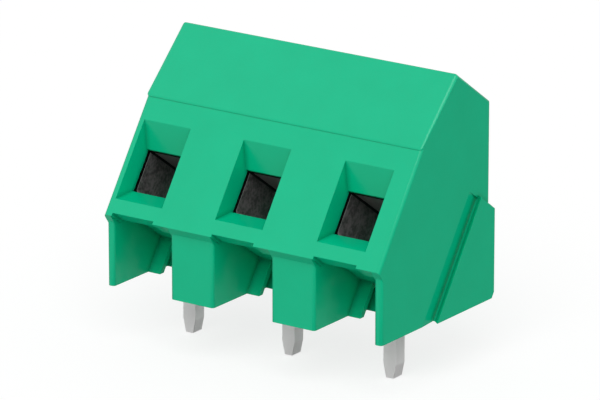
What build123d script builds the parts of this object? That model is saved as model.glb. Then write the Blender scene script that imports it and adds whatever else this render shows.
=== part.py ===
from build123d import *
from math import cos, sin, tan, radians
import os

# A board terminal block: one moulded housing with slanted wire entries, and in each pole a clamp made of
# a bent current bar with its solder pin, a clamp sleeve and a slotted clamp screw.
# The origin is the middle solder pin's centre on the board's surface. The front faces -Y, +Z is up.
# All sizes are in millimetres and degrees.

# Poles and solder pins
pole_count = 3
pitch = 7.62
pin_width = 0.95
pin_length = 3.82
pin_tip_width = 0.55
pin_tip_length = 0.9
bar_thickness = 0.95

# Housing outline, seen from the side
entry_angle = 35.0
front_to_pins = 5.05
rear_to_pins = 6.77
left_to_first_pin = 2.95
right_to_last_pin = 2.5
housing_height = 15.24
eave_overhang = 0.35
eave_height = 4.74
eave_drop = 0.49
wire_face_length = 8.01
ridge_step = 0.24
ridge_round = 0.15
upper_face_angle = 43.0
outline_round = 0.22
crown_round = 0.1
leg_round = 0.2

# Bays under the wire face, the spacers between them and the hollows that are open at the bottom
leg_wall = 0.5
bay_width = 4.38
front_wall = 1.28
bay_ceiling = 7.2
notch_inset = 0.1
notch_width = 3.15
notch_depth = 0.2
core_wall = 0.65
core_front_wall = 0.85
spacer_core_height = 8.6
rear_core_height = 6.0

# Wire funnel and the clamp behind it, which share one middle plane
clamp_to_pin = 0.71
opening_width = 3.58
opening_top = 1.52
opening_height = 5.36
throat_width = 3.38
throat_top = 3.05
throat_height = 2.85
throat_depth = 1.2
funnel_depth = 1.4

# Clamp sleeve and the pocket that it slides in
sleeve_wall = 0.3
sleeve_roof = 1.0
sleeve_length = 4.3
sleeve_round = 0.25
sleeve_travel = 2.75
mouth_inset = 0.06
sleeve_side_gap = 0.08
sleeve_front_gap = 0.1
sleeve_rear_gap = 0.15
sleeve_floor_gap = 0.2
sleeve_top_gap = 0.2

# Current bar
bar_to_sleeve = 0.08
bar_bend = 0.22
bar_front_gap = 0.06
leg_bend_height = 0.56
leg_gap = 0.07
rib_width = 0.91
rib_thickness = 0.33
web_width = 0.3
web_depth = 0.35
relief_gap = 0.1

# Clamp screw and its hole
screw_depth = 3.2
screw_radius = 1.5
thread_gap = 0.05
screw_tip_gap = 0.03
screw_tip_chamfer = 0.3
head_radius = 1.8
head_height = 1.5
head_gap = 0.1
head_chamfer = 0.2
slot_width = 0.6
slot_depth = 1.0
hole_radius = 1.65
hole_chamfer = 0.15

# Joining wing on the right side and the recess for a neighbour's wing on the left
wing_thickness = 0.39
wing_undercut = 0.26
wing_setback = 0.2
wing_corner_height = 6.86
wing_foot_chamfer = 0.36
groove_depth = 0.13
groove_width = 0.9
recess_gap = 0.05

# How far a cutting shape reaches past the face that it cuts
reach = 1.0

# Places that follow from the sizes above; side-view points are (y, z)
pole_x = [(i - (pole_count - 1) / 2) * pitch for i in range(pole_count)]
left_x = pole_x[0] - left_to_first_pin
right_x = pole_x[-1] + right_to_last_pin
slope = radians(entry_angle)
leg_y = -front_to_pins
eave_point = (leg_y - eave_overhang, eave_height)
ridge_point = (eave_point[0] + wire_face_length * sin(slope), eave_height + wire_face_length * cos(slope))


def side_point(down, depth):
    """A point of the side view, down the wire face from its ridge and deep behind it"""
    return (ridge_point[0] - down * sin(slope) + depth * cos(slope),
            ridge_point[1] - down * cos(slope) - depth * sin(slope))


def depth_of(point):
    """How deep behind the wire face a point of the side view lies"""
    return (point[0] - ridge_point[0]) * cos(slope) - (point[1] - ridge_point[1]) * sin(slope)


def down_of(point):
    """How far down the wire face from its ridge a point of the side view lies"""
    return (ridge_point[0] - point[0]) * sin(slope) + (ridge_point[1] - point[1]) * cos(slope)


def at_height(depth, z):
    """The side-view point at a height, in the plane that lies a depth behind the wire face"""
    return side_point((ridge_point[1] - depth * sin(slope) - z) / cos(slope), depth)


def at_y(depth, y):
    """The side-view point at a y, in the plane that lies a depth behind the wire face"""
    return side_point((ridge_point[0] + depth * cos(slope) - y) / sin(slope), depth)


upper_start = side_point(0, -ridge_step)
# Where the upper face meets the rear facet, which runs parallel to the wire direction
top_y = upper_start[0] + (housing_height - upper_start[1]) / tan(radians(upper_face_angle))
top_point = (top_y, housing_height)
rear_top = (rear_to_pins, housing_height - (rear_to_pins - top_y) * tan(slope))
facet_down = down_of(top_point)

sleeve_floor = throat_top + throat_height - mouth_inset
bar_underside = sleeve_floor - sleeve_travel - bar_to_sleeve
bar_top = bar_underside - bar_thickness
sleeve_ceiling = bar_top - bar_to_sleeve
sleeve_top = sleeve_ceiling - sleeve_roof
sleeve_bottom = sleeve_floor + sleeve_wall
sleeve_front = funnel_depth + sleeve_front_gap
sleeve_rear = sleeve_front + sleeve_length
mouth_half = throat_width / 2 - mouth_inset
sleeve_half = mouth_half + sleeve_wall
bar_half = mouth_half - bar_to_sleeve
pocket_top = sleeve_top - sleeve_travel - sleeve_top_gap
pocket_floor = sleeve_bottom + sleeve_floor_gap
pocket_rear = sleeve_rear + sleeve_rear_gap
pocket_half = sleeve_half + sleeve_side_gap
leg_middle = depth_of((0, leg_bend_height))
leg_front = leg_middle - bar_thickness / 2
leg_rear = leg_middle + bar_thickness / 2
rib_front = leg_front - leg_gap - rib_thickness
rib_rear = leg_front - leg_gap
screw_tip = bar_top - screw_tip_gap
head_underside = pocket_top - head_gap
head_top = head_underside - head_height
wing_front = leg_rear + wing_setback


def prism(points, x_from, x_to):
    """A solid with a side-view outline, from one x to another"""
    outline = make_face(Polyline(*points, close=True))
    return Pos(x_from, 0, 0) * extrude(Plane.YZ * outline, x_to - x_from, dir=(1, 0, 0))


def rounded(points, rounds):
    """A face in side view, with some of its corners rounded; rounds holds pairs of a corner and its radius"""
    face = make_face(Polyline(*points, close=True))
    for corner, radius in rounds:
        face = fillet(face.vertices().sort_by_distance(Vertex(*corner))[0], radius)
    return Plane.YZ * face


def face_plane(x):
    """The wire face's plane at one x: its x across, its y down the face, its z into the housing"""
    return Plane(origin=(x, *ridge_point), x_dir=(1, 0, 0), z_dir=(0, cos(slope), -sin(slope)))


def screw_plane(x):
    """A plane square to the screw's axis: z leaves the housing and is 0 level with the ridge"""
    return Plane(origin=(x, *side_point(0, screw_depth)), x_dir=(1, 0, 0), z_dir=(0, sin(slope), cos(slope)))


def slab(x_from, x_to, down, depth):
    """A block square to the wire face, with its (from, to) spans down the face and behind it"""
    corners = [side_point(down[0], depth[0]), side_point(down[1], depth[0]),
               side_point(down[1], depth[1]), side_point(down[0], depth[1])]
    return prism(corners, x_from, x_to)


def rod(x, radius, down_from, down_to):
    """A cylinder on the screw's axis between two distances down the wire face"""
    middle = -(down_from + down_to) / 2
    return screw_plane(x) * Pos(0, 0, middle) * Cylinder(radius, abs(down_to - down_from))


def bay_left(pin_x):
    return pin_x - left_to_first_pin + leg_wall


def bay_right(pin_x):
    return bay_left(pin_x) + bay_width


# Housing
def outer_body():
    """The closed outer form with its crown and the front edges of its ends rounded"""
    points = [(leg_y, 0), (leg_y, eave_height - eave_drop), eave_point, ridge_point, upper_start, top_point,
              rear_top, (rear_to_pins, 0)]
    outline = rounded(points, ((top_point, crown_round), (rear_top, crown_round), (upper_start, ridge_round)))
    body = Pos(left_x, 0, 0) * extrude(outline, right_x - left_x, dir=(1, 0, 0))
    ends = [e for e in body.edges() if min(abs(e.center().X - left_x), abs(e.center().X - right_x)) < 1e-6]
    front = [e for e in ends if e.center().Z > eave_height and e.center().Y < top_point[0] + crown_round]
    return fillet(front, outline_round)


def bay(pin_x):
    """The open space under a wire entry, from the front wall back to the wall behind the current bar"""
    front = eave_point[0] - reach
    inner_edge = side_point(wire_face_length + reach, front_wall)
    outline = [(front, -reach), (front, inner_edge[1]), inner_edge, side_point(bay_ceiling, front_wall),
               side_point(bay_ceiling, leg_rear), at_height(leg_rear, -reach)]
    return prism(outline, bay_left(pin_x), bay_right(pin_x))


def eave_opening(pin_x):
    """The gap between the legs under the eave"""
    front = leg_y - reach
    near = (front, eave_height + (eave_point[0] - front) * tan(slope))
    far = side_point(wire_face_length, front_wall + reach)
    return prism([(front, -reach), near, far, (far[0], -reach)], bay_left(pin_x), bay_right(pin_x))


def eave_notch(pin_x):
    """A shallow notch in the eave's lower edge"""
    start = wire_face_length - notch_depth
    left = bay_left(pin_x) + notch_inset
    return slab(left, left + notch_width, (start, start + reach), (-reach, front_wall))


def funnel(pin_x):
    """The tapering wire entry; the cutting shape starts in front of the face"""
    x = pin_x - clamp_to_pin
    past = reach / throat_depth
    throat_middle = throat_top + throat_height / 2
    opening_middle = opening_top + opening_height / 2
    start_width = opening_width + (opening_width - throat_width) * past
    start_height = opening_height + (opening_height - throat_height) * past
    start_middle = opening_middle + (opening_middle - throat_middle) * past
    mouth = face_plane(x) * Pos(0, start_middle, -reach) * Rectangle(start_width, start_height)
    throat = face_plane(x) * Pos(0, throat_middle, throat_depth) * Rectangle(throat_width, throat_height)
    passage = slab(x - throat_width / 2, x + throat_width / 2, (throat_top, throat_top + throat_height),
                   (throat_depth, sleeve_front))
    return loft([mouth, throat]) + passage


def clamp_space(pin_x):
    """The pocket that the sleeve slides in and the slot of the current bar behind it"""
    x = pin_x - clamp_to_pin
    pocket = slab(x - pocket_half, x + pocket_half, (pocket_top, pocket_floor), (funnel_depth, pocket_rear))
    half = bar_half + leg_gap
    ceiling = bar_top - leg_gap
    over_ribs = slab(x - half, x + half, (ceiling, bar_underside + leg_gap), (pocket_rear - leg_gap, leg_rear))
    leg_slot = slab(x - half, x + half, (ceiling, bay_ceiling + leg_gap), (rib_rear, leg_rear))
    return pocket + over_ribs + leg_slot


def guide_ribs(pin_x):
    """Two ribs in front of the current bar's leg, and a web in the corner behind the left one"""
    left = bay_left(pin_x)
    right = bay_right(pin_x)
    inner_left = left + rib_width
    inner_right = 2 * (pin_x - clamp_to_pin) - inner_left
    start = bay_ceiling - leg_gap
    rib = [side_point(start, rib_front), side_point(start, rib_rear),
           at_height(rib_rear, 0), at_height(rib_front, 0)]
    web_front = leg_rear - web_depth
    web_rear = leg_rear + leg_gap
    web = [side_point(start, web_front), side_point(start, web_rear),
           at_height(web_rear, 0), at_height(web_front, 0)]
    sunk = leg_wall / 2
    return (prism(rib, left - sunk, inner_left) + prism(rib, inner_right, right + sunk)
            + prism(web, left - sunk, left + web_width))


def pin_relief(pin_x):
    """A slot in the wall behind the leg where the solder pin turns upright"""
    half = pin_width / 2 + relief_gap
    rear = bar_thickness / 2 + relief_gap
    top = leg_bend_height + bar_thickness
    return prism([(0, -reach), (0, top), (rear, top), (rear, -reach)], pin_x - half, pin_x + half)


def screw_hole(pin_x):
    """The driver hole with its chamfered rim, and the wider space for the screw's head below it"""
    x = pin_x - clamp_to_pin
    lip = head_top - head_gap
    head_space = rod(x, head_radius + head_gap, lip, pocket_top + head_gap)
    driver_hole = rod(x, hole_radius, facet_down - reach, lip + head_gap)
    rim = screw_plane(x) * Pos(0, 0, -facet_down - hole_chamfer / 2)
    return head_space + driver_hole + rim * Cone(hole_radius, hole_radius + hole_chamfer, hole_chamfer)


def spacer_core(pin_x):
    """The hollow of the spacer to the right of a pole"""
    knee_y = leg_y + core_front_wall
    knee = at_y(core_front_wall, knee_y)
    rear = rear_to_pins - core_wall
    outline = [(knee_y, -reach), knee, at_height(core_front_wall, spacer_core_height),
               (rear, spacer_core_height), (rear, -reach)]
    return prism(outline, bay_right(pin_x) + core_wall, bay_left(pin_x + pitch) - core_wall)


def rear_core(pin_x):
    """The hollow behind a pole's current bar"""
    front = leg_rear + bar_thickness
    rear = rear_to_pins - core_wall
    outline = [at_height(front, -reach), at_height(front, rear_core_height),
               (rear, rear_core_height), (rear, -reach)]
    return prism(outline, bay_left(pin_x) + core_wall, bay_right(pin_x) - core_wall)


def dovetail(x, thickness, front, grow, rear, foot_chamfer):
    """A plate that stands out along X, whose front edge leans back under its outer face"""
    faces = []
    for plane_x, depth in ((x, front + wing_undercut), (x + thickness, front)):
        corner = at_height(depth, wing_corner_height + grow)
        rear_corner = (rear, corner[1] - (rear - corner[0]) * tan(slope))
        foot = at_height(depth, foot_chamfer - wing_foot_chamfer)
        outline = Polyline(foot, corner, rear_corner, (rear, foot_chamfer),
                           (rear - foot_chamfer * tan(slope), foot[1]), close=True)
        faces.append(Plane.YZ.offset(plane_x) * make_face(outline))
    return loft(faces)


def wing():
    return dovetail(right_x, wing_thickness, wing_front, 0, rear_to_pins, wing_foot_chamfer)


def neighbour_recess():
    return dovetail(left_x, wing_thickness + recess_gap, wing_front - recess_gap / 2, recess_gap,
                    rear_to_pins + reach, 0)


def wing_groove():
    """A shallow ramp in the side wall in front of the wing's foot"""
    start = wing_front - groove_width
    foot = wing_front + wing_undercut
    outline = Polyline((0, start), (reach, start), (reach, foot), (-groove_depth, foot), close=True)
    level = down_of(at_height(wing_front, wing_corner_height))
    low = down_of(at_height(start, -reach))
    across = Plane(origin=(right_x, *side_point(low, 0)), x_dir=(1, 0, 0), z_dir=(0, sin(slope), cos(slope)))
    return extrude(across * make_face(outline), low - level, dir=(0, sin(slope), cos(slope)))


def make_housing():
    body = outer_body()
    for pin_x in pole_x:
        body -= bay(pin_x) + eave_opening(pin_x)
        body -= eave_notch(pin_x)
        body += guide_ribs(pin_x)
    upright = [e for e in body.edges().filter_by(Axis.Z) if abs(e.center().Y - leg_y) < 1e-6]
    body = fillet(upright, leg_round)
    body -= wing_groove()
    body += wing()
    body -= neighbour_recess()
    for pin_x in pole_x:
        body -= funnel(pin_x)
        body -= clamp_space(pin_x)
        body -= screw_hole(pin_x)
        body -= pin_relief(pin_x)
        body -= rear_core(pin_x)
    for pin_x in pole_x[:-1]:
        body -= spacer_core(pin_x)
    return body


# Clamp
def bar_outline():
    """The bent strip's side view with its rounded bends"""
    half = bar_thickness / 2
    front = funnel_depth + bar_front_gap
    outer_bend = side_point(bar_top, leg_rear)
    inner_bend = side_point(bar_underside, leg_front)
    outer_knee = at_y(leg_rear, half)
    inner_knee = at_y(leg_front, -half)
    points = [side_point(bar_top, front), outer_bend, outer_knee, (half, -pin_length), (-half, -pin_length),
              inner_knee, inner_bend, side_point(bar_underside, front)]
    return rounded(points, ((outer_bend, bar_bend + bar_thickness), (inner_bend, bar_bend), (outer_knee, bar_bend),
                            (inner_knee, bar_bend)))


def make_current_bar(pin_x):
    """The strip, cut to its full width down to the bay and to the pin's width below"""
    x = pin_x - clamp_to_pin
    outline = bar_outline()
    wide = Pos(x - bar_half, 0, 0) * extrude(outline, 2 * bar_half, dir=(1, 0, 0))
    keep = slab(x - 2 * bar_half, x + 2 * bar_half, (bar_top - reach, bay_ceiling), (0, leg_rear + reach))
    narrow = Pos(pin_x - pin_width / 2, 0, 0) * extrude(outline, pin_width, dir=(1, 0, 0))
    bar = (wide & keep) + narrow
    shoulder = pin_tip_length - pin_length
    for side in (-1, 1):
        outer = side * (pin_width / 2 + reach)
        tip = side * pin_tip_width / 2
        wedge = Polyline((side * pin_width / 2, shoulder), (tip, -pin_length), (tip, -pin_length - reach),
                         (outer, -pin_length - reach), (outer, shoulder), close=True)
        cut = extrude(Plane.XZ * make_face(wedge), 2 * bar_thickness, dir=(0, -1, 0))
        bar -= Pos(pin_x, bar_thickness, 0) * cut
    return bar


def make_clamp_sleeve(pin_x):
    """The sleeve, open along the wire's direction, with the screw's hole through its thick roof"""
    x = pin_x - clamp_to_pin
    outer = Pos(0, (sleeve_top + sleeve_bottom) / 2, sleeve_front) * RectangleRounded(
        2 * sleeve_half, sleeve_bottom - sleeve_top, sleeve_round + sleeve_wall)
    inner = Pos(0, (sleeve_ceiling + sleeve_floor) / 2, sleeve_front) * RectangleRounded(
        2 * mouth_half, sleeve_floor - sleeve_ceiling, sleeve_round)
    plane = face_plane(x)
    into = (0, cos(slope), -sin(slope))
    tube = extrude(plane * outer, sleeve_length, dir=into) - extrude(plane * inner, sleeve_length, dir=into)
    return tube - rod(x, screw_radius + thread_gap, sleeve_top - reach, sleeve_ceiling + sleeve_wall)


def make_clamp_screw(pin_x):
    """The slotted screw, its tip just clear of the current bar"""
    outline = Polyline((0, -screw_tip), (screw_radius - screw_tip_chamfer, -screw_tip),
                       (screw_radius, screw_tip_chamfer - screw_tip), (screw_radius, -head_underside),
                       (head_radius, -head_underside), (head_radius, -head_top - head_chamfer),
                       (head_radius - head_chamfer, -head_top), (0, -head_top), close=True)
    turned = revolve(Plane.XZ * make_face(outline), Axis.Z)
    slot = Pos(0, 0, -head_top) * Box(2 * head_radius + reach, slot_width, 2 * slot_depth)
    return screw_plane(pin_x - clamp_to_pin) * (turned - slot)


os.makedirs("parts", exist_ok=True)
export_step(make_housing(), "parts/housing.step")
for number, pin_x in enumerate(pole_x, start=1):
    export_step(make_current_bar(pin_x), f"parts/current_bar_{number}.step")
    export_step(make_clamp_sleeve(pin_x), f"parts/clamp_sleeve_{number}.step")
    export_step(make_clamp_screw(pin_x), f"parts/clamp_screw_{number}.step")
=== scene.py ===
import math

import bpy
import numpy as np
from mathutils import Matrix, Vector


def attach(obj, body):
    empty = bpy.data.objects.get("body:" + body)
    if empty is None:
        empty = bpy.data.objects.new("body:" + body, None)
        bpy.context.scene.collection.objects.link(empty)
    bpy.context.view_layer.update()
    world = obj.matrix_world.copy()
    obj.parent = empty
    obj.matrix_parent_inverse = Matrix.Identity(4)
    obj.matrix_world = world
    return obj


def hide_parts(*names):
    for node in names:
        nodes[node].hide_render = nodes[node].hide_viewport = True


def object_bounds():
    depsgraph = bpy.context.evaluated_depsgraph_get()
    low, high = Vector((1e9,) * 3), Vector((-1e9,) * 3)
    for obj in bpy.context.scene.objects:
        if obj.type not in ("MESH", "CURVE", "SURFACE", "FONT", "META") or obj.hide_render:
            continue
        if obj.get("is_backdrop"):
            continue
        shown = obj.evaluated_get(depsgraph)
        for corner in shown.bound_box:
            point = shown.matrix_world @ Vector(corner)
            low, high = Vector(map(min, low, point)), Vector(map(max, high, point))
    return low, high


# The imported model, in metres: +X runs along the poles, -Y is the wire entries' side, +Z is up
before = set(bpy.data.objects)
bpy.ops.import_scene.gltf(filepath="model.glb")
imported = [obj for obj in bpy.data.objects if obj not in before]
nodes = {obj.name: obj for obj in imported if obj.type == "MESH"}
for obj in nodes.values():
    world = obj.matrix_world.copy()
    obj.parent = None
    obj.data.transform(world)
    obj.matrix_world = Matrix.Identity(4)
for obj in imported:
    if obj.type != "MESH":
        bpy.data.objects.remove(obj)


def writeSize(key, sizes):
    low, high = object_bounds()
    sizes[key] = [list(low), list(high)]


sizes = {}
writeSize("loaded", sizes)
mm = 0.001

# The wire face's slope; a point on the middle screw's axis, level with the ridge above that face;
# the ways along the wire's entry and down the face; and each pole's place along x
slope = math.radians(35.0)
axisPoint = np.array((-0.71, 1.8157, 9.4660)) * mm
inward = (0.0, math.cos(slope), -math.sin(slope))
downward = (0.0, -math.sin(slope), -math.cos(slope))
poles = {1: -7.62 * mm, 2: 0.0, 3: 7.62 * mm}


# Materials; colours are linear, scales count features per metre

# A new material with its node tree and its principled shader
def newMaterial(name):
    material = bpy.data.materials.new(name)
    material.use_nodes = True
    tree = material.node_tree
    return material, tree, tree.nodes["Principled BSDF"]


# One node; inputs maps a socket's name or number to a value or to another node's socket
def addNode(tree, kind, inputs=None, **settings):
    node = tree.nodes.new(kind)
    for key, value in settings.items():
        setattr(node, key, value)
    for key, value in (inputs or {}).items():
        if isinstance(value, bpy.types.NodeSocket):
            tree.links.new(value, node.inputs[key])
        else:
            node.inputs[key].default_value = value
    return node


# Noise from 0 to 1 over the object's own coordinates
def objectNoise(tree, scale, detail, stretch=(1, 1, 1)):
    place = addNode(tree, "ShaderNodeTexCoord").outputs["Object"]
    mapping = addNode(tree, "ShaderNodeMapping", {0: place, "Scale": stretch})
    noise = addNode(tree, "ShaderNodeTexNoise",
                    {"Vector": mapping.outputs[0], "Scale": scale, "Detail": detail})
    return noise.outputs[0]


# value from start to end becomes low to high; noise lies mostly between 0.3 and 0.7
def spread(tree, value, low, high, start=0.3, end=0.7):
    inputs = {0: value, 1: start, 2: end, 3: low, 4: high}
    return addNode(tree, "ShaderNodeMapRange", inputs).outputs[0]


# first at share 0, second at share 1
def mixColors(tree, share, first, second):
    inputs = {0: share, 6: first, 7: second}
    return addNode(tree, "ShaderNodeMix", inputs, data_type="RGBA").outputs[2]


# A normal tilted by height, whose whole range is depth deep
def bumpFrom(tree, height, depth):
    return addNode(tree, "ShaderNodeBump", {"Height": height, "Distance": depth}).outputs[0]


# How far a surface point lies from axisPoint along a direction: their difference dot direction
def placeAlong(tree, direction):
    place = addNode(tree, "ShaderNodeTexCoord").outputs["Object"]
    along = addNode(tree, "ShaderNodeVectorMath", {0: place, 1: direction}, operation="DOT_PRODUCT")
    inputs = {0: along.outputs["Value"], 1: float(np.dot(axisPoint, direction))}
    return addNode(tree, "ShaderNodeMath", inputs, operation="SUBTRACT").outputs[0]


plasticSettings = {
    "light": (0.0, 0.530, 0.268, 1), "dark": (0.0, 0.508, 0.255, 1),
    "clouds": 420, "cloudDetail": 3,
    "creaseShade": (0.0, 0.33, 0.162, 1),  # painted shade in corners that see less than creaseFrom of the open
    "creaseFrom": 0.45, "creaseTo": 0.92, "creaseReach": 0.5 * mm, "creaseSamples": 12,
    "grain": 5200, "grainDetail": 2, "grainDepth": 0.004 * mm,
    "roughness": (0.15, 0.24), "gloss": 0.32, "ior": 1.5,
}


# Moulded plastic: an even green with faint clouds, painted shade in tight corners, and a fine
# eroded grain
def greenPlastic():
    s = plasticSettings
    material, tree, shader = newMaterial("moulded_green")
    clouds = objectNoise(tree, s["clouds"], s["cloudDetail"])
    grain = objectNoise(tree, s["grain"], s["grainDetail"])
    openness = addNode(tree, "ShaderNodeAmbientOcclusion", {"Distance": s["creaseReach"]},
                       samples=s["creaseSamples"]).outputs["AO"]
    plain = mixColors(tree, spread(tree, clouds, 0, 1), s["dark"], s["light"])
    # Painted shade: the colour goes darker where the ambient occlusion finds little open space
    share = spread(tree, openness, 0, 1, s["creaseFrom"], s["creaseTo"])
    tree.links.new(mixColors(tree, share, s["creaseShade"], plain), shader.inputs["Base Color"])
    tree.links.new(spread(tree, grain, *s["roughness"]), shader.inputs["Roughness"])
    tree.links.new(bumpFrom(tree, grain, s["grainDepth"]), shader.inputs["Normal"])
    shader.inputs["IOR"].default_value = s["ior"]
    shader.inputs["Specular IOR Level"].default_value = s["gloss"]
    return material


tinSettings = {
    "light": (0.97, 0.96, 0.96, 1), "dark": (0.93, 0.92, 0.92, 1), "roughness": (0.66, 0.82),
    "patches": 600, "patchDetail": 2,
    "streaks": 3000, "streakDetail": 4, "stretch": (1, 1, 0.2), "depth": 0.002 * mm,
    "tinTop": 1.6 * mm, "plainFrom": 2.4 * mm,  # heights between which tin gives way to plain metal
    # The plain metal's colour is its own untinned tone darkened with painted shade; the next colour
    # is painted shade, near black, on its front end
    "plain": (0.34, 0.29, 0.30, 1), "front": (0.02, 0.02, 0.02, 1),
    "frontTo": -1.35 * mm, "fade": 0.05 * mm,   # how far inward the painted near-black shade at the front end reaches
}


# A bar: tin below, plain metal above, told apart by height; the plain metal's tone is partly its
# own and partly painted shade, and its front end is painted shade, near black
def tinnedBar():
    s = tinSettings
    material, tree, shader = newMaterial("tin_plating")
    streaks = objectNoise(tree, s["streaks"], s["streakDetail"], s["stretch"])
    patches = objectNoise(tree, s["patches"], s["patchDetail"])
    place = addNode(tree, "ShaderNodeTexCoord").outputs["Object"]
    height = addNode(tree, "ShaderNodeSeparateXYZ", {0: place}).outputs["Z"]
    above = spread(tree, height, 0, 1, s["tinTop"], s["plainFrom"])
    behind = spread(tree, placeAlong(tree, inward), 0, 1, s["frontTo"], s["frontTo"] + s["fade"])
    tin = mixColors(tree, spread(tree, patches, 0, 1), s["dark"], s["light"])
    # Painted shade: near black at the front end, darkened over the rest of the plain metal
    plain = mixColors(tree, behind, s["front"], s["plain"])
    tree.links.new(mixColors(tree, above, tin, plain), shader.inputs["Base Color"])
    tree.links.new(spread(tree, streaks, *s["roughness"]), shader.inputs["Roughness"])
    tree.links.new(bumpFrom(tree, streaks, s["depth"]), shader.inputs["Normal"])
    shader.inputs["Metallic"].default_value = 1.0
    return material


sheetSettings = {
    "light": (0.21, 0.185, 0.192, 1), "dark": (0.075, 0.066, 0.068, 1), "roughness": (0.45, 0.65),
    "metallic": 0.30, "patches": 1300, "patchDetail": 3, "mottle": (0.8, 1.2),
    "grain": 5200, "grainDetail": 4, "depth": 0.004 * mm,
    # The first colour is painted shadow, near black, at the front and beside the bar; the second is
    # a painted highlight on the front edge
    "gapShadow": (0.004, 0.004, 0.004, 1), "edgeHighlight": (0.62, 0.58, 0.59, 1),
    "gapShadowTo": -1.605 * mm, "edgeHighlightTo": -1.57 * mm,  # depths inward of the front's two zones, painted shadow and then painted highlight
    "barShadowTo": 3.12 * mm, "fade": 0.02 * mm,         # how far down the painted shadow band beside the bar reaches
}


# Pressed sheet: a painted black shadow at the front, a thin painted highlight on the edge, then a
# mottled dark wall with a painted shadow band beside the bar; the zones follow the depth inward,
# the band the way downward
def darkSheetSteel():
    s = sheetSettings
    material, tree, shader = newMaterial("dark_sheet")
    grain = objectNoise(tree, s["grain"], s["grainDetail"])
    patches = objectNoise(tree, s["patches"], s["patchDetail"])
    both = addNode(tree, "ShaderNodeMath", {0: grain, 1: patches}, operation="ADD").outputs[0]
    depth = placeAlong(tree, inward)
    drop = placeAlong(tree, downward)
    # Masks for the painted shadow at the front, the painted highlight just past it, and the painted
    # shadow band beside the bar
    inside = spread(tree, depth, 0, 1, s["gapShadowTo"], s["gapShadowTo"] + s["fade"])
    past = spread(tree, depth, 0, 1, s["edgeHighlightTo"], s["edgeHighlightTo"] + s["fade"])
    below = spread(tree, drop, 0, 1, s["barShadowTo"], s["barShadowTo"] + s["fade"])
    wall = mixColors(tree, spread(tree, both, 0, 1, *s["mottle"]), s["dark"], s["light"])
    wall = mixColors(tree, below, s["gapShadow"], mixColors(tree, past, s["edgeHighlight"], wall))
    tree.links.new(mixColors(tree, inside, s["gapShadow"], wall), shader.inputs["Base Color"])
    # The painted black front is fully metallic, so it stays black
    tree.links.new(spread(tree, inside, 1, s["metallic"]), shader.inputs["Metallic"])
    tree.links.new(spread(tree, grain, *s["roughness"]), shader.inputs["Roughness"])
    tree.links.new(bumpFrom(tree, grain, s["depth"]), shader.inputs["Normal"])
    return material


zincSettings = {
    "light": (0.50, 0.51, 0.52, 1), "dark": (0.40, 0.41, 0.42, 1), "roughness": (0.28, 0.42),
    "patches": 1500, "patchDetail": 3, "rings": 9000, "ringDetail": 3, "depth": 0.004 * mm,
}


# Turned metal: fine rings round the screw's axis, which follow the piece's own radius attribute
def turnedZinc():
    s = zincSettings
    material, tree, shader = newMaterial("zinc_plating")
    radius = addNode(tree, "ShaderNodeAttribute", attribute_name="radius").outputs["Fac"]
    rings = addNode(tree, "ShaderNodeTexNoise",
                    {"W": radius, "Scale": s["rings"], "Detail": s["ringDetail"]},
                    noise_dimensions="1D").outputs[0]
    patches = objectNoise(tree, s["patches"], s["patchDetail"])
    tone = mixColors(tree, spread(tree, patches, 0, 1), s["dark"], s["light"])
    tree.links.new(tone, shader.inputs["Base Color"])
    tree.links.new(spread(tree, patches, *s["roughness"]), shader.inputs["Roughness"])
    tree.links.new(bumpFrom(tree, rings, s["depth"]), shader.inputs["Normal"])
    shader.inputs["Metallic"].default_value = 1.0
    return material


plastic = greenPlastic()
tin = tinnedBar()
sheetSteel = darkSheetSteel()
zinc = turnedZinc()
print("materials made")


# The housing, bars and sleeves: CAD shapes with finely broken edges

finishSettings = {
    "join": 0.0005 * mm,   # points closer than this are one
    "flatAngle": 0.6,      # faces within this many degrees lie in one plane
    "breakAngle": 30,      # edges sharper than this many degrees are broken
    "breakSegments": 2,
    "creaseAngle": 32,     # on the turned pieces, edges sharper than this stay crisp
}


# Joins points that lie in one place
def weldPoints(obj):
    weld = obj.modifiers.new("weld", "WELD")
    weld.merge_threshold = finishSettings["join"]


# Joins the mesh, clears its flat faces of inner edges and breaks its sharp edges, width wide
def softenEdges(obj, width):
    s = finishSettings
    weldPoints(obj)
    flat = obj.modifiers.new("flat", "DECIMATE")
    flat.decimate_type = "DISSOLVE"
    flat.angle_limit = math.radians(s["flatAngle"])
    bevel = obj.modifiers.new("bevel", "BEVEL")
    bevel.width = width
    bevel.segments = s["breakSegments"]
    bevel.limit_method = "ANGLE"
    bevel.angle_limit = math.radians(s["breakAngle"])
    bevel.harden_normals = True


# One material all over, and sharp edges broken by a strip edge wide
def dress(obj, material, edge):
    obj.data.materials.clear()
    obj.data.materials.append(material)
    softenEdges(obj, edge)


housingSettings = {
    "edge": 0.02 * mm,
    "ridge": (0, -0.8057 * mm, 11.3014 * mm),     # a point on the ridge, in the wire face's plane
    "reach": 0.3 * mm, "stepShare": 0.35,         # how much of the step's depth stays
}
barSettings = {"edge": 0.025 * mm}
sleeveSettings = {"edge": 0.03 * mm}


# The housing, from a copy of its CAD mesh: points in front of the wire face's plane and within
# reach of the ridge keep stepShare of their distance from that plane, which thins the step under
# the upper face
def makeHousing():
    s = housingSettings
    mesh = nodes["housing"].data.copy()
    mesh.name = "housing_shell"
    places = np.empty(len(mesh.vertices) * 3)
    mesh.vertices.foreach_get("co", places)
    places = places.reshape(-1, 3)
    depth = (places - s["ridge"]) @ inward
    down = (places - s["ridge"]) @ downward
    step = (depth < 0) & (np.abs(down) < s["reach"])
    places -= np.where(step, depth * (1 - s["stepShare"]), 0)[:, None] * inward
    mesh.vertices.foreach_set("co", places.ravel())
    housing = bpy.data.objects.new("housing_shell", mesh)
    bpy.context.scene.collection.objects.link(housing)
    dress(housing, plastic, s["edge"])
    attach(housing, "block")
    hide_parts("housing")


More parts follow.
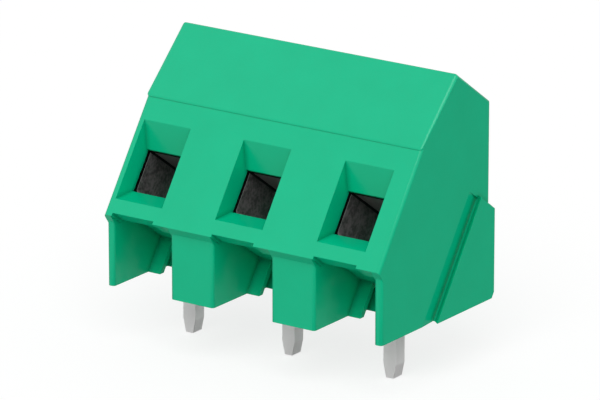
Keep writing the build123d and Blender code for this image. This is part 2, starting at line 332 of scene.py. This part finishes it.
makeHousing()
for i in poles:
    dress(nodes[f"current_bar_{i}"], tin, barSettings["edge"])
    dress(nodes[f"clamp_sleeve_{i}"], sheetSteel, sleeveSettings["edge"])
print("housing, bars and sleeves dressed")


# Clamp screws and the sleeves' cut threads; z runs up the screw's axis, from 0 at axisPoint

screwSettings = {
    "pitch": 0.5 * mm, "root": 1.20 * mm, "crest": 1.48 * mm, "flank": 1.6,
    "turnSteps": 12, "sides": 48,                    # points for each turn's height and round it
    "tip": -2.03 * mm, "tipRadius": 1.2 * mm, "tipLength": 0.3 * mm, "relief": 0.25 * mm,
    "headUnder": 2.07 * mm, "headTop": 3.57 * mm, "headRadius": 1.8 * mm,
    "rim": 0.2 * mm, "rimPower": 1.5,
    "slotHalf": 0.3 * mm, "slotFloor": 2.57 * mm, "slotBreak": 0.03 * mm, "floorHalf": 0.1 * mm,
    "headRows": 15, "topPoints": 31, "underPoints": 9,
}


# Quads between neighbours on a grid of rows by columns points; a wrapped way closes on itself
def gridQuads(rows, columns, wrapRows=False, wrapColumns=False):
    r = np.arange(rows if wrapRows else rows - 1)[:, None]
    c = np.arange(columns if wrapColumns else columns - 1)[None, :]
    nextRow, nextColumn = (r + 1) % rows, (c + 1) % columns
    corners = [r * columns + c, r * columns + nextColumn,
               nextRow * columns + nextColumn, nextRow * columns + c]
    return np.stack(corners, -1).reshape(-1, 4)


# Points round the axis: radius is an array of heights by angles, z has the heights
def roundAxis(radius, angle, z):
    height = np.broadcast_to(z[:, None], radius.shape)
    return np.stack([radius * np.cos(angle), radius * np.sin(angle), height], -1).reshape(-1, 3)


# From a screw's own x, y, z to the frame: x stays, y runs into the housing, z runs up the axis
def alongAxis(points, pole):
    ways = np.array(((1, 0, 0), inward, np.negative(downward)))
    return axisPoint + np.array((poles[pole], 0, 0)) + points @ ways


# One object from closed grids, each (points, quads); its radius attribute is the distance from
# the axis
def axisPiece(name, grids, pole, material):
    points = np.concatenate([p for p, q in grids])
    firsts = np.cumsum([0] + [len(p) for p, q in grids[:-1]])
    quads = np.concatenate([q + first for (p, q), first in zip(grids, firsts)])
    mesh = bpy.data.meshes.new(name)
    mesh.from_pydata(alongAxis(points, pole).tolist(), [], quads.tolist())
    radius = mesh.attributes.new("radius", "FLOAT", "POINT")
    radius.data.foreach_set("value", np.hypot(points[:, 0], points[:, 1]).astype(np.float32))
    mesh.shade_smooth()
    mesh.set_sharp_from_angle(angle=math.radians(finishSettings["creaseAngle"]))
    mesh.materials.append(material)
    piece = bpy.data.objects.new(name, mesh)
    bpy.context.scene.collection.objects.link(piece)
    weldPoints(piece)
    return piece


# Thread radius: a wave of height less angle, one pitch long, from root to crest with flats at both
def threadRadius(angle, z, grow=0.0):
    s = screwSettings
    phase = (z / s["pitch"] - angle / (2 * np.pi)) % 1.0
    wave = np.clip((np.abs(2 * phase - 1) - 0.5) * s["flank"] + 0.5, 0, 1)
    return s["root"] + grow + (s["crest"] - s["root"]) * wave


# The shank: the thread's radius, held under an envelope that thins at the tip and below the head
def shankGrid():
    s = screwSettings
    top = s["headUnder"] + s["rim"]
    z = np.linspace(s["tip"], top, int((top - s["tip"]) / s["pitch"] * s["turnSteps"]))
    envelope = np.interp(
        z, [s["tip"], s["tip"] + s["tipLength"], s["headUnder"] - s["relief"], s["headUnder"]],
        [s["tipRadius"], s["crest"], s["crest"], s["root"]])
    angle = np.linspace(0, 2 * np.pi, s["sides"], endpoint=False)
    radius = np.minimum(threadRadius(angle[None, :], z[:, None]), envelope[:, None])
    pole = np.zeros_like(angle)
    radius = np.vstack([pole, radius, pole])
    z = np.concatenate([z[:1], z, z[-1:]])
    return roundAxis(radius, angle, z), gridQuads(len(z), len(angle), wrapColumns=True)


# The head: at each y a loop, first across the top, which drops at the rim and down to the slot's
# floor near y 0, then back along the underside
def headGrid():
    s = screwSettings
    slot, chamfer, floor, full = s["slotHalf"], s["slotBreak"], s["slotFloor"], s["headTop"]
    side = s["headRadius"] * np.sin(np.linspace(0.5, 0, s["headRows"]) * np.pi)
    side = side[side > slot + 2 * chamfer]
    edge = np.array([slot + chamfer, slot, slot, slot - chamfer, s["floorHalf"]])
    level = np.array([full, full - chamfer, floor + chamfer, floor, floor])
    plain = np.full(len(side), full)
    y = np.concatenate([side, edge, -edge[::-1], -side[::-1]])[:, None]
    level = np.concatenate([plain, level, level[::-1], plain])[:, None]
    half = np.sqrt(np.maximum(s["headRadius"] ** 2 - y ** 2, 0))
    x = half * np.sin(np.linspace(-0.5, 0.5, s["topPoints"]) * np.pi)
    rim = np.clip((np.hypot(x, y) - s["headRadius"] + s["rim"]) / s["rim"], 0, 1)
    top = np.minimum(full - s["rim"] * rim ** s["rimPower"], level)
    back = half * np.linspace(1, -1, s["underPoints"])
    x = np.hstack([x, back])
    z = np.hstack([top, np.full(back.shape, s["headUnder"])])
    points = np.stack([x, np.broadcast_to(y, x.shape), z], -1)
    return points.reshape(-1, 3), gridQuads(*x.shape, wrapColumns=True)[:, ::-1]


nutSettings = {
    "roofTop": -1.0 * mm, "roofUnder": -1.96 * mm,   # the sleeve's roof, which has the thread
    "seat": 1.56 * mm, "play": 0.06 * mm, "lead": 0.10 * mm,
}


# The cut thread in a sleeve's roof: inside, the screw's thread with some play, opened over the lead
# at both ends; outside, a plain seat
def nutGrid():
    s, n = screwSettings, nutSettings
    steps = int((n["roofTop"] - n["roofUnder"]) / s["pitch"] * s["turnSteps"])
    z = np.linspace(n["roofUnder"], n["roofTop"], steps)
    angle = np.linspace(0, 2 * np.pi, s["sides"], endpoint=False)
    wide = s["crest"] + n["play"]
    opened = np.interp(z, [z[0], z[0] + n["lead"], z[-1] - n["lead"], z[-1]],
                       [wide, s["root"], s["root"], wide])
    inner = np.maximum(threadRadius(angle[None, :], z[:, None], n["play"]), opened[:, None])
    radius = np.vstack([inner, np.full((2, len(angle)), n["seat"])])
    z = np.concatenate([z, z[[-1, 0]]])
    quads = gridQuads(len(z), len(angle), wrapRows=True, wrapColumns=True)
    return roundAxis(radius, angle, z), quads[:, ::-1]


for i in poles:
    screw = axisPiece(f"screw_{i}", [shankGrid(), headGrid()], i, zinc)
    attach(screw, f"clamp_screw_{i}")
    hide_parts(f"clamp_screw_{i}")
    nut = axisPiece(f"sleeve_thread_{i}", [nutGrid()], i, sheetSteel)
    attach(nut, f"clamp_sleeve_{i}")
print("screws and cut threads made")


# Stage, light and camera

stageSettings = {
    "floorSize": 3.0, "floorHeight": -3.9 * mm,
    "floorColor": (0.71, 0.71, 0.71, 1), "floorRoughness": 0.9,    # what lights the object
    "white": 0.80, "shade": (0.24, 0.24, 0.24, 1),                 # what the camera sees
    # What the object's gloss shows, a painted floor shadow: by distance from an oblong at middle
    # with these half sides, and by x towards the right
    "middle": (0.2 * mm, -4.6 * mm, 0), "half": (10.6 * mm, 1.6 * mm, 0),
    "nearTone": 0.18, "farTone": 0.54, "nearTo": 2.0 * mm, "farFrom": 6.5 * mm,
    "rightTone": 0.40, "rightFrom": 0.0, "rightTo": 16.0 * mm,
}


# The first shader, with the second for glossy rays and the third for camera rays
def byRay(tree, output, shader, glossy, camera):
    rays = addNode(tree, "ShaderNodeLightPath")
    first = addNode(tree, "ShaderNodeMixShader",
                    {0: rays.outputs["Is Glossy Ray"], 1: shader, 2: glossy})
    second = addNode(tree, "ShaderNodeMixShader",
                     {0: rays.outputs["Is Camera Ray"], 1: first.outputs[0], 2: camera})
    tree.links.new(second.outputs[0], output.inputs["Surface"])


# The floor's tone in the object's gloss, an emission seen only by glossy rays: painted shadow, dark
# close by, where little light gets, paler farther out, times a share that falls towards the right,
# also painted shade;
# the distance is the length of max(|place - middle| - half, 0)
def floorTone(tree):
    s = stageSettings
    place = addNode(tree, "ShaderNodeTexCoord").outputs["Object"]

    def step(operation, *vectors):
        return addNode(tree, "ShaderNodeVectorMath", dict(enumerate(vectors)), operation=operation)

    aside = step("ABSOLUTE", step("SUBTRACT", place, s["middle"]).outputs[0]).outputs[0]
    outside = step("MAXIMUM", step("SUBTRACT", aside, s["half"]).outputs[0], (0, 0, 0)).outputs[0]
    distance = step("LENGTH", outside).outputs["Value"]
    across = addNode(tree, "ShaderNodeSeparateXYZ", {0: place}).outputs["X"]
    tone = spread(tree, distance, s["nearTone"], s["farTone"], s["nearTo"], s["farFrom"])
    share = spread(tree, across, 1, s["rightTone"], s["rightFrom"], s["rightTo"])
    return addNode(tree, "ShaderNodeMath", {0: tone, 1: share}, operation="MULTIPLY").outputs[0]


# A pale plane under the pins; the camera sees it white, but for the object's soft shadow
def makeFloor():
    s = stageSettings
    half = s["floorSize"] / 2
    corners = [(-half, -half, 0), (half, -half, 0), (half, half, 0), (-half, half, 0)]
    mesh = bpy.data.meshes.new("floor")
    mesh.from_pydata(corners, [], [(0, 1, 2, 3)])
    floor = bpy.data.objects.new("floor", mesh)
    floor.location = (0, 0, s["floorHeight"])
    bpy.context.scene.collection.objects.link(floor)
    material, tree, shader = newMaterial("pale_floor")
    shader.inputs["Base Color"].default_value = s["floorColor"]
    shader.inputs["Roughness"].default_value = s["floorRoughness"]
    # Glossy rays see the floor as an emission with painted shadow near the object
    gloss = addNode(tree, "ShaderNodeEmission", {"Strength": floorTone(tree)})
    white = addNode(tree, "ShaderNodeEmission", {"Strength": s["white"]})
    shade = addNode(tree, "ShaderNodeBsdfDiffuse", {"Color": s["shade"]})
    seen = addNode(tree, "ShaderNodeAddShader", {0: white.outputs[0], 1: shade.outputs[0]})
    output = tree.nodes["Material Output"]
    byRay(tree, output, shader.outputs[0], gloss.outputs[0], seen.outputs[0])
    mesh.materials.append(material)
    floor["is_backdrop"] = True


worldSettings = {"color": (1.0, 1.0, 1.0, 1), "light": 0.40, "gloss": 1.0, "seen": 1.0}


# Even white light from all round, and a white background
def makeWorld():
    s = worldSettings
    world = bpy.data.worlds.new("studio")
    bpy.context.scene.world = world
    world.use_nodes = True
    tree = world.node_tree
    light = tree.nodes["Background"]
    light.inputs["Color"].default_value = s["color"]
    light.inputs["Strength"].default_value = s["light"]
    gloss, seen = (addNode(tree, "ShaderNodeBackground", {"Color": s["color"], "Strength": s[key]})
                   for key in ("gloss", "seen"))
    output = tree.nodes["World Output"]
    byRay(tree, output, light.outputs[0], gloss.outputs[0], seen.outputs[0])


# toward is the direction in which the lamp stands
keySettings = {"toward": (0.32, -0.56, 0.765), "strength": 1.82, "angle": 50}


# One wide sun from the front, above
def makeKey():
    s = keySettings
    data = bpy.data.lights.new("key", "SUN")
    data.energy = s["strength"]
    data.angle = math.radians(s["angle"])
    lamp = bpy.data.objects.new("key", data)
    lamp.rotation_euler = Vector(s["toward"]).to_track_quat("Z", "Y").to_euler()
    bpy.context.scene.collection.objects.link(lamp)


cameraSettings = {
    "azimuth": 35.0, "elevation": 17.44, "eye": (196.399 * mm, -279.697 * mm, 113.537 * mm),
    "lens": 347.63, "sensor": 36.0, "clipStart": 0.01, "clipEnd": 10,
}


# The camera looks against (sin a cos e, -cos a cos e, sin e)
def makeCamera():
    s = cameraSettings
    a, e = math.radians(s["azimuth"]), math.radians(s["elevation"])
    back = Vector((math.sin(a) * math.cos(e), -math.cos(a) * math.cos(e), math.sin(e)))
    data = bpy.data.cameras.new("camera")
    data.sensor_width = s["sensor"]
    data.lens = s["lens"]
    data.clip_start = s["clipStart"]
    data.clip_end = s["clipEnd"]
    camera = bpy.data.objects.new("camera", data)
    camera.location = s["eye"]
    camera.rotation_euler = (-back).to_track_quat("-Z", "Y").to_euler()
    bpy.context.scene.collection.objects.link(camera)
    bpy.context.scene.camera = camera


makeFloor()
makeWorld()
makeKey()
makeCamera()
bpy.context.scene.view_settings.view_transform = "Standard"
print("stage made")

writeSize("made", sizes)
